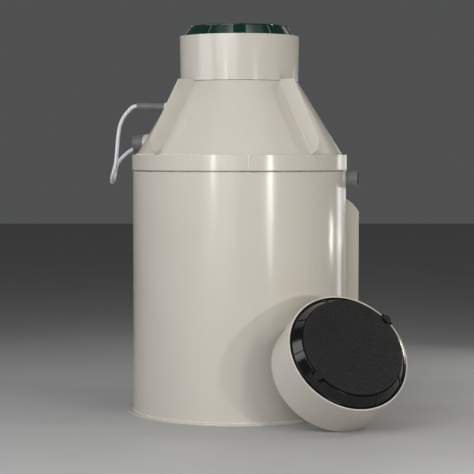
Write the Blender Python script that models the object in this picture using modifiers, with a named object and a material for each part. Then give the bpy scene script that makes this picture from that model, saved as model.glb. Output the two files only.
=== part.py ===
"""Household sewage treatment plant: a round plastic tank with a cone roof, neck and hatch.

A loose neck extension ring with a hatch of its own leans on the tank's right front.
Metres, +Z up, origin on the tank's axis at the floor, and -Y is the front.
Azimuths are in degrees from the front (-Y), positive towards the right (+X).
"""

import math

import bmesh
import bpy
from mathutils import Matrix, Vector

# Gap between touching pieces
GAP = 0.0003

# Tank body
BODY_RADIUS = 0.687
WALL = 0.010
PANELS = 8
PANEL_STEPS = 10
BASE_RADIUS = 0.7286
BASE_THICKNESS = 0.012
BODY_TOP = 1.6457

# Collar band with a lip that closes the wall's top edge
BAND_THICKNESS = 0.0055
BAND_BOTTOM = 1.5546
BAND_TOP = 1.6520
LIP_THICKNESS = 0.006
LIP_INNER_RADIUS = 0.648

# Cone roof, measured on its outer surface
ROOF_FOOT_RADIUS = 0.6625
ROOF_FOOT = BAND_TOP + GAP
ROOF_TOP_RADIUS = 0.3785
ROOF_TOP = 2.1162

# Collar in the roof's opening, and the neck that sleeves over it
COLLAR_WALL = 0.008
COLLAR_BOTTOM = 2.060
COLLAR_TOP = 2.200
NECK_BOTTOM_RADIUS = 0.379
NECK_RIM_RADIUS = 0.384
NECK_BOTTOM = 2.120
NECK_RIM = 2.408

# Gussets between the lip, the roof and the neck: outer outline as (radius, height)
GUSSET_AZIMUTHS = (-48.8, 42.4, 131.8, -138.2)
GUSSET_THICKNESS = 0.012
GUSSET_TOP = 2.127
GUSSET_OUTER = ((0.505, GUSSET_TOP), (0.733, 1.752), (0.715, 1.677))
GUSSET_FOOT_RADIUS = 0.672

# Vertical fin on the right side: its top edge is an arc through three points
FIN_AZIMUTH = 92.0
FIN_THICKNESS = 0.012
FIN_ARC = ((0.6873, 1.3650), (0.7424, 1.3245), (0.7721, 1.2810))
FIN_OUTER_RADIUS = 0.7695

# Pipes, each with its welded collar. Height is that of the axis at the outer end, rise is its slope
PIPES = {
    "outlet": {
        "azimuth": 79.0, "height": 1.4975, "rise": 0.0, "inner_end": 0.635, "end": 0.7715,
        "radius": 0.055, "wall": 0.0032, "collar_radius": 0.0585, "collar_out": 0.010, "sides": 48,
    },
    "inlet": {
        "azimuth": -107.0, "height": 1.728, "rise": 0.0, "inner_end": 0.560, "end": 0.7208,
        "radius": 0.055, "wall": 0.0032, "collar_radius": 0.060, "collar_out": 0.033, "sides": 48,
    },
    "air": {
        "azimuth": -94.0, "height": 1.966, "rise": 0.035, "inner_end": 0.430, "end": 0.662,
        "radius": 0.025, "wall": 0.003, "collar_radius": 0.030, "collar_out": 0.012, "sides": 32,
    },
}
GLAND_LENGTH, GLAND_PROUD = 0.030, 0.004

# Cutters: where a pipe's hole is centred and how long it is, and how far in a collar starts
HOLE_CENTRE, HOLE_DEPTH = 0.60, 0.60
COLLAR_INSIDE = 0.060
CORE_SIDES = 240

# Air hose: route points from the gland's end round the hanging loop into the inlet's mouth
HOSE_DIAMETER = 0.025
HOSE_POINTS = 46
HOSE_ROUTE = (
    (-0.6439, 0.0451, 1.9654),
    (-0.6664, 0.0466, 1.9662),
    (-0.6768, 0.0472, 1.9655),
    (-0.6913, 0.0478, 1.9600),
    (-0.7096, 0.0468, 1.9433),
    (-0.7270, 0.0448, 1.9245),
    (-0.7437, 0.0422, 1.9031),
    (-0.7584, 0.0382, 1.8765),
    (-0.7705, 0.0325, 1.8466),
    (-0.7785, 0.0250, 1.8084),
    (-0.7845, 0.0160, 1.7631),
    (-0.7880, 0.0090, 1.7178),
    (-0.7911, 0.0050, 1.6726),
    (-0.7950, 0.0035, 1.6307),
    (-0.8004, 0.0035, 1.5887),
    (-0.8105, 0.0080, 1.5518),
    (-0.8200, 0.0220, 1.5219),
    (-0.8284, 0.0550, 1.4943),
    (-0.8275, 0.1035, 1.4714),
    (-0.8211, 0.1520, 1.4890),
    (-0.8158, 0.1800, 1.5201),
    (-0.8115, 0.1950, 1.5541),
    (-0.8041, 0.2035, 1.5843),
    (-0.7892, 0.2080, 1.6106),
    (-0.7689, 0.2110, 1.6349),
    (-0.7413, 0.2135, 1.6593),
    (-0.7116, 0.2135, 1.6810),
    (-0.6897, 0.2110, 1.6941),
    (-0.6602, 0.2025, 1.7020),
    (-0.6321, 0.1940, 1.7072),
)

# Hatch, in the frame of the rim that it closes: z = 0 at the rim, +Z outwards
HATCH_SEAT_RADIUS = 0.3737
HATCH_SKIRT_RADIUS = 0.3720
HATCH_SKIRT_DEPTH = 0.060
HATCH_SKIRT_INNER = 0.3650
SLOPE_FOOT_RADIUS, SLOPE_FOOT = 0.3600, 0.0015
CREST_RADIUS, CREST = 0.3220, 0.0580
THROAT, THROAT_FOOT_RADIUS, THROAT_TOP_RADIUS = -0.0075, 0.3555, 0.3265
COVER_RADIUS, COVER_CLEARANCE = 0.3160, 0.0008
COVER_SEAT, COVER_CHAMFER = 0.0437, 0.004
NECK_COVER_TOP, EXTENSION_COVER_TOP = 0.0680, 0.0780
LEDGE_INNER_RADIUS, LEDGE_BOTTOM = 0.2900, 0.0370
FOOT_SINK = 0.004
RIB_ANGLES = (32.5, 70.8, 109.2, 147.5, -32.5, -70.8, -109.2, -147.5)
RIB_THICKNESS, RIB_HEIGHT, RIB_ROOT, RIB_PROUD = 0.005, 0.006, 0.003, 0.001
LUG_WIDTH, LUG_TOP_RADIUS, LUG_FOOT_RADIUS, LUG_ROOT = 0.080, 0.3500, 0.3640, 0.0035
LOCK_RADIUS, LOCK_CENTRE, LOCK_SUNK = 0.028, 0.3260, 0.005
LOCK_EDGE, LOCK_NOTCH, LOCK_SIDES = 0.002, 0.002, 40
ROUND_STEPS = 72

# Neck extension ring leaning on the tank: middle of its rim in plan, and the way its axis points
EXTENSION_RIM_X, EXTENSION_RIM_Y = 0.6477, -0.9402
EXTENSION_AZIMUTH, EXTENSION_ELEVATION = 24.0, 33.7
EXTENSION_LENGTH = 0.286
EXTENSION_RADIUS = 0.384
EXTENSION_LOCK_ANGLE = 32.0

COLOURS = {
    "shell": ((0.58, 0.545, 0.49, 1.0), 0.38),
    "pipe": ((0.13, 0.13, 0.135, 1.0), 0.45),
    "hose": ((0.68, 0.68, 0.71, 1.0), 0.50),
    "green_hatch": ((0.006, 0.030, 0.020, 1.0), 0.22),
    "black_hatch": ((0.012, 0.012, 0.013, 1.0), 0.30),
}


def clear_scene():
    for obj in list(bpy.data.objects):
        bpy.data.objects.remove(obj, do_unlink=True)


def new_collection(name):
    collection = bpy.data.collections.new(name)
    bpy.context.scene.collection.children.link(collection)
    return collection


def new_material(name, key):
    colour, roughness = COLOURS[key]
    material = bpy.data.materials.new(name)
    material.use_nodes = True
    shader = material.node_tree.nodes["Principled BSDF"]
    shader.inputs["Base Color"].default_value = colour
    shader.inputs["Roughness"].default_value = roughness
    shader.inputs["Metallic"].default_value = 0.0
    return material


def add_part(name, mesh, key, smooth=True):
    """Links a mesh as a named piece with a material of its own."""
    obj = bpy.data.objects.new(name, mesh)
    parts.objects.link(obj)
    obj.data.materials.append(new_material(name + "_finish", key))
    if smooth:
        mesh.shade_smooth()
    return obj


def add_cutter(name, mesh):
    obj = bpy.data.objects.new(name, mesh)
    cutters.objects.link(obj)
    obj.hide_render = True
    obj.display_type = "WIRE"
    return obj


def add_boolean(obj, operand, operation):
    modifier = obj.modifiers.new(operation.title(), "BOOLEAN")
    modifier.operation = operation
    modifier.solver = "EXACT"
    modifier.object = operand


def add_screw(obj, degrees, steps):
    screw = obj.modifiers.new("Turn", "SCREW")
    screw.angle = math.radians(degrees)
    screw.steps = steps
    screw.render_steps = steps
    screw.use_merge_vertices = degrees == 360.0
    screw.merge_threshold = 0.00001


def direction(azimuth):
    """Unit vector pointing out from the tank's axis at this azimuth."""
    angle = math.radians(azimuth)
    return Vector((math.sin(angle), -math.cos(angle), 0.0))


def profile_mesh(name, points, closed):
    """An outline in the XZ plane, for a Screw to turn."""
    edges = [(i, i + 1) for i in range(len(points) - 1)]
    if closed:
        edges.append((len(points) - 1, 0))
    mesh = bpy.data.meshes.new(name)
    mesh.from_pydata([(radius, 0.0, height) for radius, height in points], edges, [])
    return mesh


def tube_outline(outer, inner, low, high):
    """Outline of a plain round tube, listed from top to bottom outside."""
    return ((inner, high), (outer, high), (outer, low), (inner, low))


def turned_ring(name, points, key, steps=ROUND_STEPS):
    """A ring turned from a closed (radius, height) outline, listed from top to bottom outside."""
    obj = add_part(name, profile_mesh(name, points, closed=True), key)
    add_screw(obj, 360.0, steps)
    return obj


def panel_mesh(name, outline, sweep, steps):
    """A bent sheet: a closed (radius, height) outline spun part of the way round, with flat ends."""
    mesh = bpy.data.meshes.new(name)
    shape = bmesh.new()
    corners = [shape.verts.new((radius, 0.0, height)) for radius, height in outline]
    face = shape.faces.new(corners)
    bmesh.ops.spin(
        shape,
        geom=[*shape.verts, *shape.edges, face],
        cent=(0, 0, 0),
        axis=(0, 0, 1),
        angle=math.radians(sweep),
        steps=steps,
    )
    bmesh.ops.recalc_face_normals(shape, faces=shape.faces)
    shape.to_mesh(mesh)
    shape.free()
    return mesh


def cylinder_mesh(name, radius, depth, segments, radius_top=None):
    mesh = bpy.data.meshes.new(name)
    shape = bmesh.new()
    bmesh.ops.create_cone(
        shape,
        cap_ends=True,
        segments=segments,
        radius1=radius,
        radius2=radius if radius_top is None else radius_top,
        depth=depth,
    )
    shape.to_mesh(mesh)
    shape.free()
    return mesh


def prism_mesh(name, outline, thickness):
    """A plate: an outline in the XZ plane, extruded by half the thickness each way along Y."""
    curve = bpy.data.curves.new(name, "CURVE")
    curve.dimensions = "2D"
    curve.fill_mode = "BOTH"
    curve.extrude = thickness / 2
    spline = curve.splines.new("POLY")
    spline.points.add(len(outline) - 1)
    for point, (x, z) in zip(spline.points, outline):
        point.co = (x, z, 0.0, 1.0)
    spline.use_cyclic_u = True
    holder = bpy.data.objects.new(name, curve)
    bpy.context.scene.collection.objects.link(holder)
    graph = bpy.context.evaluated_depsgraph_get()
    mesh = bpy.data.meshes.new_from_object(holder.evaluated_get(graph))
    bpy.data.objects.remove(holder, do_unlink=True)
    bpy.data.curves.remove(curve)
    shape = bmesh.new()
    shape.from_mesh(mesh)
    bmesh.ops.remove_doubles(shape, verts=shape.verts, dist=1e-5)
    bmesh.ops.rotate(
        shape, verts=shape.verts, cent=(0, 0, 0), matrix=Matrix.Rotation(math.pi / 2, 3, "X")
    )
    bmesh.ops.recalc_face_normals(shape, faces=shape.faces)
    shape.to_mesh(mesh)
    shape.free()
    return mesh


def arc_through(first, middle, last, steps):
    """Points on the circle through three (x, z) points, from first to last."""
    (ax, az), (bx, bz), (cx, cz) = first, middle, last
    d = 2 * (ax * (bz - cz) + bx * (cz - az) + cx * (az - bz))
    a2, b2, c2 = ax * ax + az * az, bx * bx + bz * bz, cx * cx + cz * cz
    ux = (a2 * (bz - cz) + b2 * (cz - az) + c2 * (az - bz)) / d
    uz = (a2 * (cx - bx) + b2 * (ax - cx) + c2 * (bx - ax)) / d
    radius = math.hypot(ax - ux, az - uz)
    start, end = math.atan2(az - uz, ax - ux), math.atan2(cz - uz, cx - ux)
    angles = [start + (end - start) * i / steps for i in range(steps + 1)]
    return [(ux + radius * math.cos(a), uz + radius * math.sin(a)) for a in angles]


def pipe_matrix(azimuth, height, distance, rise=0.0):
    """A frame whose +Z runs outwards along a pipe, with its origin at this distance from the axis."""
    out = (direction(azimuth) + Vector((0.0, 0.0, rise))).normalized()
    place = direction(azimuth) * distance + Vector((0.0, 0.0, height))
    return Matrix.Translation(place) @ out.to_track_quat("Z", "Y").to_matrix().to_4x4()


def roof_radius(height):
    """Outer radius of the roof at this height."""
    share = (ROOF_TOP - height) / (ROOF_TOP - ROOF_FOOT)
    return ROOF_TOP_RADIUS + share * (ROOF_FOOT_RADIUS - ROOF_TOP_RADIUS)


def roof_across(thickness):
    """Horizontal measure of a thickness taken square to the sloping roof."""
    drop, run = ROOF_TOP - ROOF_FOOT, ROOF_FOOT_RADIUS - ROOF_TOP_RADIUS
    return thickness * math.hypot(drop, run) / drop


def neck_radius(height):
    """Outer radius of the neck at this height."""
    share = (height - NECK_BOTTOM) / (NECK_RIM - NECK_BOTTOM)
    return NECK_BOTTOM_RADIUS + share * (NECK_RIM_RADIUS - NECK_BOTTOM_RADIUS)


def make_base():
    mesh = cylinder_mesh("base_plate", BASE_RADIUS, BASE_THICKNESS, 96)
    base = add_part("base_plate", mesh, "shell")
    base.location = (0.0, 0.0, BASE_THICKNESS / 2)


def make_panels():
    """Eight bent sheets for the round wall and eight for the roof, from the front round to the right."""
    step = 360.0 / PANELS
    inner_top = ROOF_TOP_RADIUS - roof_across(WALL)
    wall_outline = tube_outline(BODY_RADIUS, BODY_RADIUS - WALL, BASE_THICKNESS + GAP, BODY_TOP)
    roof_outline = (
        (inner_top, ROOF_TOP),
        (ROOF_TOP_RADIUS, ROOF_TOP),
        (ROOF_FOOT_RADIUS, ROOF_FOOT),
        (ROOF_FOOT_RADIUS - roof_across(WALL), ROOF_FOOT),
    )
    rows = []
    for row, outline, inner in (
        ("wall_panel", wall_outline, BODY_RADIUS - WALL),
        ("roof_panel", roof_outline, inner_top),
    ):
        seam = math.degrees(GAP / inner)
        panels = []
        for i in range(PANELS):
            name = f"{row}_{i + 1}"
            panel = add_part(name, panel_mesh(name, outline, step - seam, PANEL_STEPS), "shell")
            panel.rotation_euler = (0.0, 0.0, math.radians(-90.0 + i * step + seam / 2))
            panels.append(panel)
        rows.append(panels)
    return rows


def make_band():
    outer = BODY_RADIUS + GAP + BAND_THICKNESS
    lip_bottom = BAND_TOP - LIP_THICKNESS
    outline = (
        (LIP_INNER_RADIUS, BAND_TOP),
        (outer, BAND_TOP),
        (outer, BAND_BOTTOM),
        (BODY_RADIUS + GAP, BAND_BOTTOM),
        (BODY_RADIUS + GAP, lip_bottom),
        (LIP_INNER_RADIUS, lip_bottom),
    )
    return turned_ring("top_band", outline, "shell", 80)


def make_neck():
    """The collar in the roof's opening, and the neck that stands on it."""
    outer = ROOF_TOP_RADIUS - roof_across(WALL) - GAP
    collar = tube_outline(outer, outer - COLLAR_WALL, COLLAR_BOTTOM, COLLAR_TOP)
    turned_ring("roof_collar", collar, "shell")
    neck = (
        (NECK_RIM_RADIUS - WALL, NECK_RIM),
        (NECK_RIM_RADIUS, NECK_RIM),
        (NECK_BOTTOM_RADIUS, NECK_BOTTOM),
        (outer + GAP, NECK_BOTTOM),
    )
    turned_ring("neck_ring", neck, "shell")


def make_gussets():
    """Four upright plates, each with its inner edge along the neck and the roof."""
    clear = roof_across(GAP)
    neck_side = neck_radius(GUSSET_TOP) + GAP
    pitch = (ROOF_TOP - ROOF_FOOT) / (ROOF_FOOT_RADIUS - ROOF_TOP_RADIUS)
    outline = (
        (neck_side, GUSSET_TOP),
        *GUSSET_OUTER,
        (GUSSET_FOOT_RADIUS, ROOF_FOOT),
        (ROOF_FOOT_RADIUS + clear, ROOF_FOOT),
        (neck_side, ROOF_TOP - (neck_side - ROOF_TOP_RADIUS - clear) * pitch),
    )
    for number, azimuth in enumerate(GUSSET_AZIMUTHS, start=1):
        mesh = prism_mesh(f"gusset_{number}", outline, GUSSET_THICKNESS)
        plate = add_part(f"gusset_{number}", mesh, "shell", smooth=False)
        plate.rotation_euler = (0.0, 0.0, math.radians(azimuth - 90.0))


def make_fin():
    outline = arc_through(*FIN_ARC, steps=12)
    foot = BASE_THICKNESS + GAP
    outline += [(FIN_OUTER_RADIUS, foot), (FIN_ARC[0][0], foot)]
    fin = add_part("side_fin", prism_mesh("side_fin", outline, FIN_THICKNESS), "shell", smooth=False)
    fin.rotation_euler = (0.0, 0.0, math.radians(FIN_AZIMUTH - 90.0))


def panel_at(panels, azimuth):
    return panels[int((azimuth % 360.0) // (360.0 / PANELS))]


def make_cores():
    """Solids of the body and of the roof, a gap larger than they are, to scribe the collars to."""
    height = ROOF_TOP - ROOF_FOOT
    clear = roof_across(GAP)
    body = cylinder_mesh("body_core", BODY_RADIUS + GAP, BODY_TOP, CORE_SIDES)
    roof = cylinder_mesh(
        "roof_core", ROOF_FOOT_RADIUS + clear, height, CORE_SIDES, ROOF_TOP_RADIUS + clear
    )
    body_core, roof_core = add_cutter("body_core", body), add_cutter("roof_core", roof)
    body_core.location = (0.0, 0.0, BODY_TOP / 2)
    roof_core.location = (0.0, 0.0, ROOF_FOOT + height / 2)
    return body_core, roof_core


def make_pipe(name, panels, core, surface):
    """A pipe, its hole in the panel that it passes, and the collar that stands on that surface."""
    pipe = PIPES[name]
    azimuth, rise, sides = pipe["azimuth"], pipe["rise"], pipe["sides"]

    def frame_at(distance):
        return pipe_matrix(azimuth, pipe["height"] - rise * (pipe["end"] - distance), distance, rise)

    bore = pipe["radius"] + GAP
    hole = add_cutter(name + "_hole", cylinder_mesh(name + "_hole", bore, HOLE_DEPTH, sides))
    hole.matrix_world = frame_at(HOLE_CENTRE)
    add_boolean(panel_at(panels, azimuth), hole, "DIFFERENCE")

    length = pipe["end"] - pipe["inner_end"]
    outline = tube_outline(pipe["radius"], pipe["radius"] - pipe["wall"], -length, 0.0)
    turned_ring(name + "_pipe", outline, "pipe", sides).matrix_world = frame_at(pipe["end"])

    height = COLLAR_INSIDE + pipe["collar_out"]
    outline = tube_outline(pipe["collar_radius"], bore, 0.0, height)
    collar = turned_ring(name + "_collar", outline, "shell", sides)
    collar.matrix_world = frame_at(surface - COLLAR_INSIDE)
    add_boolean(collar, core, "DIFFERENCE")


def make_pipes(walls, roofs, band):
    """Outlet through the wall, inlet and air pipe through the roof, and the air hose's gland."""
    body_core, roof_core = make_cores()
    make_pipe("outlet", walls, body_core, BODY_RADIUS)
    outlet, air = PIPES["outlet"], PIPES["air"]
    room = add_cutter(
        "outlet_room", cylinder_mesh("outlet_room", outlet["collar_radius"] + GAP, 0.10, 48)
    )
    room.matrix_world = pipe_matrix(outlet["azimuth"], outlet["height"], BODY_RADIUS)
    add_boolean(band, room, "DIFFERENCE")

    make_pipe("inlet", roofs, roof_core, roof_radius(PIPES["inlet"]["height"]))
    root = air["height"] - air["rise"] * (air["end"] - roof_radius(air["height"]))
    make_pipe("air", roofs, roof_core, roof_radius(root))
    outline = tube_outline(
        air["radius"] - air["wall"] - GAP, HOSE_DIAMETER / 2 + GAP, -GLAND_LENGTH, GLAND_PROUD
    )
    gland = turned_ring("air_gland", outline, "pipe", air["sides"])
    gland.matrix_world = pipe_matrix(air["azimuth"], air["height"], air["end"], air["rise"])


def smooth_route(route, count):
    """Evenly spread points on the Catmull-Rom curve through the route's points."""
    points = [Vector(p) for p in route]
    padded = [2 * points[0] - points[1], *points, 2 * points[-1] - points[-2]]
    dense = []
    for a, b, c, d in zip(padded, padded[1:], padded[2:], padded[3:]):
        for i in range(24):
            t = i / 24
            dense.append(
                0.5 * (2 * b + (c - a) * t + (2 * a - 5 * b + 4 * c - d) * t**2
                       + (3 * b - a - 3 * c + d) * t**3)
            )
    dense.append(points[-1])
    travelled = [0.0]
    for before, after in zip(dense, dense[1:]):
        travelled.append(travelled[-1] + (after - before).length)
    spread, index = [], 0
    for i in range(count):
        wanted = travelled[-1] * i / (count - 1)
        while index < len(dense) - 2 and travelled[index + 1] < wanted:
            index += 1
        share = (wanted - travelled[index]) / (travelled[index + 1] - travelled[index])
        spread.append(dense[index].lerp(dense[index + 1], share))
    return spread


def make_hose():
    curve = bpy.data.curves.new("air_hose", "CURVE")
    curve.dimensions = "3D"
    curve.bevel_depth = HOSE_DIAMETER / 2
    curve.bevel_resolution = 3
    curve.use_fill_caps = True
    spline = curve.splines.new("POLY")
    points = smooth_route(HOSE_ROUTE, HOSE_POINTS)
    spline.points.add(len(points) - 1)
    for point, place in zip(spline.points, points):
        point.co = (*place, 1.0)
    hose = bpy.data.objects.new("air_hose", curve)
    parts.objects.link(hose)
    curve.materials.append(new_material("air_hose_finish", "hose"))


def wedge_mesh(name, outline, width, angles):
    """Upright plates on radial lines at these angles, all in one mesh, for a Boolean to join."""
    plate = prism_mesh(name, outline, width)
    shape = bmesh.new()
    for angle in angles:
        copy = plate.copy()
        copy.transform(Matrix.Rotation(math.radians(angle), 4, "Z"))
        shape.from_mesh(copy)
        bpy.data.meshes.remove(copy)
    joined = bpy.data.meshes.new(name)
    shape.to_mesh(joined)
    shape.free()
    bpy.data.meshes.remove(plate)
    return joined


def make_hatch(prefix, rim, key, cover_top):
    """Frame, cover and two locks, on an empty that stands for the rim's middle."""
    recess = COVER_RADIUS + COVER_CLEARANCE
    frame_outline = (
        (recess, CREST),
        (CREST_RADIUS, CREST),
        (SLOPE_FOOT_RADIUS, SLOPE_FOOT),
        (HATCH_SEAT_RADIUS, 0.0),
        (HATCH_SKIRT_RADIUS, -HATCH_SKIRT_DEPTH),
        (HATCH_SKIRT_INNER, -HATCH_SKIRT_DEPTH),
        (HATCH_SKIRT_INNER, THROAT),
        (THROAT_FOOT_RADIUS, THROAT),
        (THROAT_TOP_RADIUS, LEDGE_BOTTOM),
        (LEDGE_INNER_RADIUS, LEDGE_BOTTOM),
        (LEDGE_INNER_RADIUS, COVER_SEAT),
        (recess, COVER_SEAT),
    )
    frame = turned_ring(prefix + "_frame", frame_outline, key)
    frame.parent = rim

    rib = (
        (CREST_RADIUS - RIB_ROOT, CREST - 2 * RIB_ROOT),
        (CREST_RADIUS - RIB_PROUD, CREST + RIB_PROUD),
        (CREST_RADIUS + RIB_HEIGHT, CREST + RIB_PROUD),
        (SLOPE_FOOT_RADIUS + RIB_HEIGHT, SLOPE_FOOT + 2 * RIB_PROUD),
        (SLOPE_FOOT_RADIUS + RIB_HEIGHT, -FOOT_SINK),
        (SLOPE_FOOT_RADIUS - RIB_ROOT, -FOOT_SINK),
    )
    ribs = add_cutter(prefix + "_ribs", wedge_mesh(prefix + "_ribs", rib, RIB_THICKNESS, RIB_ANGLES))
    lug = (
        (CREST_RADIUS - LUG_ROOT, CREST - 2 * FOOT_SINK),
        (CREST_RADIUS - LUG_ROOT, CREST),
        (LUG_TOP_RADIUS, CREST),
        (LUG_FOOT_RADIUS, 0.0),
        (LUG_FOOT_RADIUS, -FOOT_SINK),
        (SLOPE_FOOT_RADIUS - FOOT_SINK, -FOOT_SINK),
    )
    lugs = add_cutter(prefix + "_lugs", wedge_mesh(prefix + "_lugs", lug, LUG_WIDTH, (0.0, 180.0)))
    for extra in (ribs, lugs):
        extra.parent = rim
        add_boolean(frame, extra, "UNION")

    cover_outline = (
        (0.0, cover_top),
        (COVER_RADIUS - COVER_CHAMFER, cover_top),
        (COVER_RADIUS, cover_top - COVER_CHAMFER),
        (COVER_RADIUS, COVER_SEAT + GAP),
        (0.0, COVER_SEAT + GAP),
    )
    cover_mesh = profile_mesh(prefix + "_cover", cover_outline, closed=False)
    cover = add_part(prefix + "_cover", cover_mesh, key)
    add_screw(cover, 360.0, ROUND_STEPS)
    cover.parent = rim

    lock_top = cover_top - LOCK_SUNK
    height = lock_top - CREST - GAP
    for number, angle in enumerate((0.0, 180.0), start=1):
        name = f"{prefix}_lock_{number}"
        turn = Matrix.Rotation(math.radians(angle), 4, "Z")
        lock = add_part(name, cylinder_mesh(name, LOCK_RADIUS, height, LOCK_SIDES), key)
        lock.parent = rim
        lock.matrix_local = turn @ Matrix.Translation((LOCK_CENTRE, 0.0, lock_top - height / 2))
        bevel = lock.modifiers.new("Edge", "BEVEL")
        bevel.width = LOCK_EDGE
        bevel.segments = 2
        bevel.limit_method = "ANGLE"
        notch_name = f"{prefix}_notch_{number}"
        notch_mesh = cylinder_mesh(notch_name, LOCK_RADIUS + LOCK_NOTCH, cover_top, LOCK_SIDES)
        notch = add_cutter(notch_name, notch_mesh)
        notch.parent = rim
        notch.matrix_local = turn @ Matrix.Translation((LOCK_CENTRE, 0.0, cover_top))
        add_boolean(cover, notch, "DIFFERENCE")


def make_rim_empty(name, centre, outwards, lock_line):
    """An empty at a rim's middle: +Z leaves the rim, and +X points at the hatch's first lock."""
    z = Vector(outwards).normalized()
    x = (Vector(lock_line) - z * Vector(lock_line).dot(z)).normalized()
    y = z.cross(x)
    empty = bpy.data.objects.new(name, None)
    parts.objects.link(empty)
    turn = Matrix((x, y, z)).transposed().to_4x4()
    empty.matrix_world = Matrix.Translation(Vector(centre)) @ turn
    return empty


def make_extension():
    """The loose neck extension ring, leaning back against the tank, with its own hatch."""
    elevation, lock_angle = math.radians(EXTENSION_ELEVATION), math.radians(EXTENSION_LOCK_ANGLE)
    out = direction(EXTENSION_AZIMUTH) * math.cos(elevation)
    out.z = math.sin(elevation)
    level = direction(EXTENSION_AZIMUTH + 90.0)
    lock_line = level * math.cos(lock_angle) + out.cross(level) * math.sin(lock_angle)
    rim_height = GAP + EXTENSION_LENGTH * out.z + EXTENSION_RADIUS * math.cos(elevation)
    centre = (EXTENSION_RIM_X, EXTENSION_RIM_Y, rim_height)
    rim = make_rim_empty("extension_rim", centre, out, lock_line)
    outline = tube_outline(EXTENSION_RADIUS, EXTENSION_RADIUS - WALL, -EXTENSION_LENGTH, 0.0)
    turned_ring("extension_ring", outline, "shell").parent = rim
    make_hatch("extension_hatch", rim, "black_hatch", EXTENSION_COVER_TOP)


clear_scene()
parts = new_collection("sewage_treatment_plant")
cutters = new_collection("cutters")

make_base()
wall_panels, roof_panels = make_panels()
band = make_band()
make_neck()
make_gussets()
make_fin()
make_pipes(wall_panels, roof_panels, band)
make_hose()
neck_rim = make_rim_empty("neck_rim", (0.0, 0.0, NECK_RIM), (0.0, 0.0, 1.0), (0.0, -1.0, 0.0))
make_hatch("neck_hatch", neck_rim, "green_hatch", NECK_COVER_TOP)
make_extension()
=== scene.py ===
"""Household sewage treatment plant, dressed for the picture.

A welded plastic tank with a cone roof, neck and green hatch, and a loose neck extension ring
with a black hatch that leans on it. Metres, +Z up, -Y is the front. Azimuths are in degrees
from the front, positive towards the right (+X).
"""

import math

import bmesh
import bpy
import numpy as np
from mathutils import Matrix, Vector


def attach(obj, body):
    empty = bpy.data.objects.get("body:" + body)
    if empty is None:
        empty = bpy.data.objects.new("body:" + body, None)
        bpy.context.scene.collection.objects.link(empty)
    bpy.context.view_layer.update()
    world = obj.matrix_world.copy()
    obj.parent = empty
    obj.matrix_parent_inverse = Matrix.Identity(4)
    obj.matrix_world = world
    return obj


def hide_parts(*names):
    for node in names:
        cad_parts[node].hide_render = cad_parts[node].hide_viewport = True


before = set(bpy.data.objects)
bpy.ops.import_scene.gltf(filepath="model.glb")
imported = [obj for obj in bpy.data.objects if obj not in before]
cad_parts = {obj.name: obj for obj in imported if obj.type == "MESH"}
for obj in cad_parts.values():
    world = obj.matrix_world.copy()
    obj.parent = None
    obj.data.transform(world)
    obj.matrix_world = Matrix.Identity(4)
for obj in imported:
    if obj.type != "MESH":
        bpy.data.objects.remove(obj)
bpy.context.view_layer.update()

GAP = 0.0003
TURN = 2 * math.pi
SHARP_ANGLE = math.radians(38)
AXIS_Z = Vector((0.0, 0.0, 1.0))
MERGE_DISTANCE, SMALLEST_AREA = 1e-6, 1e-12

# Camera: its place, downward pitch in radians and focal length in picture pixels
CAMERA_PLACE = (-0.0155, -11.0, 1.648)
CAMERA_PITCH = 0.048
FOCAL_PIXELS, PICTURE_SIDE, SENSOR = 1700.476, 474, 36.0

# Tank, repeated from the part's source
BODY_RADIUS, WALL = 0.687, 0.010
BASE_RADIUS, BASE_FLANGE, BASE_THICKNESS, BODY_TOP = 0.7286, 0.70, 0.012, 1.6457
BAND_OUTER, BAND_BOTTOM, BAND_TOP = 0.6928, 1.5546, 1.6520
LIP_THICKNESS, LIP_INNER = 0.006, 0.648
ROOF_FOOT_RADIUS, ROOF_FOOT = 0.6625, 1.6523
ROOF_TOP_RADIUS, ROOF_TOP = 0.3785, 2.1162
NECK_BOTTOM_RADIUS, NECK_RIM_RADIUS = 0.379, 0.384
NECK_BOTTOM, NECK_RIM = 2.120, 2.408
COLLAR_WALL, COLLAR_BOTTOM, COLLAR_TOP = 0.008, 2.060, 2.200

GUSSET_AZIMUTHS = (-48.8, 42.4, 131.8, -138.2)
GUSSET_THICKNESS, GUSSET_TOP = 0.012, 2.127
GUSSET_OUTER = ((0.505, GUSSET_TOP), (0.733, 1.752), (0.715, 1.677))
GUSSET_FOOT_RADIUS = 0.672
FIN_AZIMUTH, FIN_THICKNESS = 92.0, 0.012
FIN_ARC = ((0.6873, 1.3650), (0.7424, 1.3245), (0.7721, 1.2810))
FIN_OUTER = 0.7695

# Pipes: azimuth, height of the axis at the outer end, slope, inner and outer end, radius, wall,
# collar radius, how far the collar stands out
PIPES = {
    "outlet": (79.0, 1.4975, 0.0, 0.635, 0.7715, 0.055, 0.0032, 0.0585, 0.010),
    "inlet": (-107.0, 1.728, 0.0, 0.560, 0.7208, 0.055, 0.0032, 0.060, 0.033),
    "air": (-94.0, 1.966, 0.035, 0.430, 0.662, 0.025, 0.003, 0.030, 0.012),
}
GLAND_LENGTH, GLAND_PROUD = 0.030, 0.004

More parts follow.
